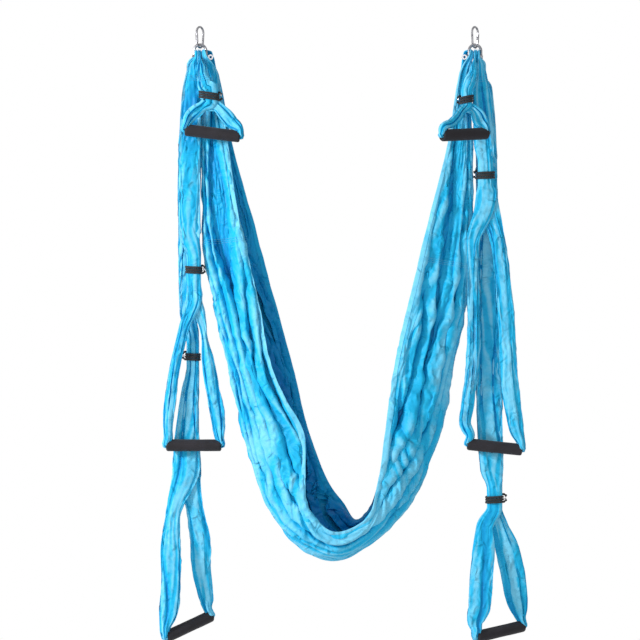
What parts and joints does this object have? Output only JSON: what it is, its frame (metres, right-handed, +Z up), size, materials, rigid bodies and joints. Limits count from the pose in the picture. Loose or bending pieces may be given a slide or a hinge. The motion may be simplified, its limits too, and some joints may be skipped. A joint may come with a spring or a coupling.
{
  "type": "aerial hammock",
  "caption": "Aerial hammock: gathered fabric sheet hanging in a U from bow shackles and snap hooks, with tied fabric straps that end in foam hand grips at each side.",
  "frame": {"origin": "seat of the left snap hook, the inside of its top bend, where a ceiling eye carries it", "axes": "+Z up, +X from the left hang point to the right one, +Y to the back"},
  "size_m": [0.882, 0.2091, 1.456],
  "materials": {
    "fabric": "crinkled semi-gloss turquoise nylon",
    "steel": "bright zinc plate",
    "foam": "matt charcoal foam",
    "tube": "plain black tube",
    "elastic": "braided black elastic"
  },
  "bodies": {
    "hangers": {"left_carabiner_hook": "steel", "left_gate_rivet": "steel", "right_carabiner_hook": "steel", "right_gate_rivet": "steel"},
    "hammock": {"hammock_sheet": "fabric", "left_shackle_bow": "steel", "right_shackle_bow": "steel"},
    "left_gate": {"left_carabiner_gate": "steel", "left_gate_spring": "steel"},
    "left_pin": {"left_shackle_pin": "steel"},
    "left_short_strap": {"left_short_strap": "fabric"},
    "left_short_handle": {"left_short_grip": "foam", "left_short_core_tube": "tube"},
    "left_short_tie": {"left_short_tie": "elastic", "left_short_crimp": "steel"},
    "left_middle_strap": {"left_middle_strap": "fabric"},
    "left_middle_handle": {"left_middle_grip": "foam", "left_middle_core_tube": "tube"},
    "left_middle_tie": {"left_middle_tie": "elastic", "left_middle_crimp": "steel"},
    "left_long_strap": {"left_long_strap": "fabric"},
    "left_long_handle": {"left_long_grip": "foam", "left_long_core_tube": "tube"},
    "left_long_tie": {"left_long_tie": "elastic", "left_long_crimp": "steel"},
    "right_gate": {"right_carabiner_gate": "steel", "right_gate_spring": "steel"},
    "right_pin": {"right_shackle_pin": "steel"},
    "right_short_strap": {"right_short_strap": "fabric"},
    "right_short_handle": {"right_short_grip": "foam", "right_short_core_tube": "tube"},
    "right_short_tie": {"right_short_tie": "elastic", "right_short_crimp": "steel"},
    "right_middle_strap": {"right_middle_strap": "fabric"},
    "right_middle_handle": {"right_middle_grip": "foam", "right_middle_core_tube": "tube"},
    "right_middle_tie": {"right_middle_tie": "elastic", "right_middle_crimp": "steel"},
    "right_long_strap": {"right_long_strap": "fabric"},
    "right_long_handle": {"right_long_grip": "foam", "right_long_core_tube": "tube"},
    "right_long_tie": {"right_long_tie": "elastic", "right_long_crimp": "steel"}
  },
  "joints": [
    {"name": "hammock_swing", "type": "hinge", "parent": "hangers", "child": "hammock", "pos_m": [0, 0, -0.0465], "axis": [1, 0, 0], "range_deg": [-10, 10]},
    {"name": "left_gate_hinge", "type": "hinge", "parent": "hangers", "child": "left_gate", "pos_m": [-0.00664, -0.00985, -0.03098], "axis": [-0.829, 0.5592, 0], "range_deg": [0, 28], "stiffness_Nm_per_rad": 0.02, "springref_deg": -20.05},
    {"name": "left_pin_turn", "type": "hinge", "parent": "hammock", "child": "left_pin", "pos_m": [0, 0, -0.069], "axis": [1, 0, 0], "continuous": true},
    {"name": "left_long_swing", "type": "hinge", "parent": "hammock", "child": "left_long_strap", "pos_m": [0, 0, -0.069], "axis": [1, 0, 0], "range_deg": [0, 50]},
    {"name": "left_middle_swing", "type": "hinge", "parent": "hammock", "child": "left_middle_strap", "pos_m": [0, 0, -0.069], "axis": [1, 0, 0], "range_deg": [-50, 0]},
    {"name": "left_short_swing", "type": "hinge", "parent": "left_middle_strap", "child": "left_short_strap", "pos_m": [0, 0, -0.069], "axis": [1, 0, 0], "range_deg": [-40, 0]},
    {"name": "right_gate_hinge", "type": "hinge", "parent": "hangers", "child": "right_gate", "pos_m": [0.65664, 0.00985, -0.03098], "axis": [0.829, -0.5592, 0], "range_deg": [0, 28], "stiffness_Nm_per_rad": 0.02, "springref_deg": -20.05},
    {"name": "right_pin_turn", "type": "hinge", "parent": "hammock", "child": "right_pin", "pos_m": [0.65, 0, -0.069], "axis": [1, 0, 0], "continuous": true},
    {"name": "right_long_swing", "type": "hinge", "parent": "hammock", "child": "right_long_strap", "pos_m": [0.65, 0, -0.069], "axis": [1, 0, 0], "range_deg": [0, 50]},
    {"name": "right_middle_swing", "type": "hinge", "parent": "hammock", "child": "right_middle_strap", "pos_m": [0.65, 0, -0.069], "axis": [1, 0, 0], "range_deg": [-50, 0]},
    {"name": "right_short_swing", "type": "hinge", "parent": "right_middle_strap", "child": "right_short_strap", "pos_m": [0.65, 0, -0.069], "axis": [1, 0, 0], "range_deg": [-40, 0]},
    {"name": "left_short_handle_turn", "type": "hinge", "parent": "left_short_strap", "child": "left_short_handle", "pos_m": [0.031, -0.036, -0.251], "axis": [0.9925, 0, -0.1219], "continuous": true},
    {"name": "left_short_tie_slide", "type": "slide", "parent": "left_short_strap", "child": "left_short_tie", "axis": [0, 0, 1], "range_m": [0, 0.006]},
    {"name": "left_middle_handle_turn", "type": "hinge", "parent": "left_middle_strap", "child": "left_middle_handle", "pos_m": [-0.0144, -0.006, -0.986], "axis": [1, 0, 0], "continuous": true},
    {"name": "left_middle_tie_slide", "type": "slide", "parent": "left_middle_strap", "child": "left_middle_tie", "axis": [0, 0, 1], "range_m": [-0.015, 0.015]},
    {"name": "left_long_handle_turn", "type": "hinge", "parent": "left_long_strap", "child": "left_long_handle", "pos_m": [-0.0272, 0.0185, -1.416], "axis": [0.8138, 0.4698, 0.342], "continuous": true},
    {"name": "left_long_tie_slide", "type": "slide", "parent": "left_long_strap", "child": "left_long_tie", "axis": [0, 0, 1], "range_m": [-0.015, 0.015]},
    {"name": "right_short_handle_turn", "type": "hinge", "parent": "right_short_strap", "child": "right_short_handle", "pos_m": [0.6216, -0.07, -0.256], "axis": [0.846, 0.5286, 0.0698], "continuous": true},
    {"name": "right_short_tie_slide", "type": "slide", "parent": "right_short_strap", "child": "right_short_tie", "axis": [0, 0, 1], "range_m": [0, 0.006]},
    {"name": "right_middle_handle_turn", "type": "hinge", "parent": "right_middle_strap", "child": "right_middle_handle", "pos_m": [0.6961, -0.006, -0.99], "axis": [0.9945, 0, -0.1045], "continuous": true},
    {"name": "right_middle_tie_slide", "type": "slide", "parent": "right_middle_strap", "child": "right_middle_tie", "axis": [0, 0, 1], "range_m": [-0.015, 0.015]},
    {"name": "right_long_handle_turn", "type": "hinge", "parent": "right_long_strap", "child": "right_long_handle", "pos_m": [0.7103, 0.0185, -1.428], "axis": [0.8877, 0.433, 0.1564], "continuous": true},
    {"name": "right_long_tie_slide", "type": "slide", "parent": "right_long_strap", "child": "right_long_tie", "axis": [0, 0, 1], "range_m": [-0.01, 0.01]}
  ]
}
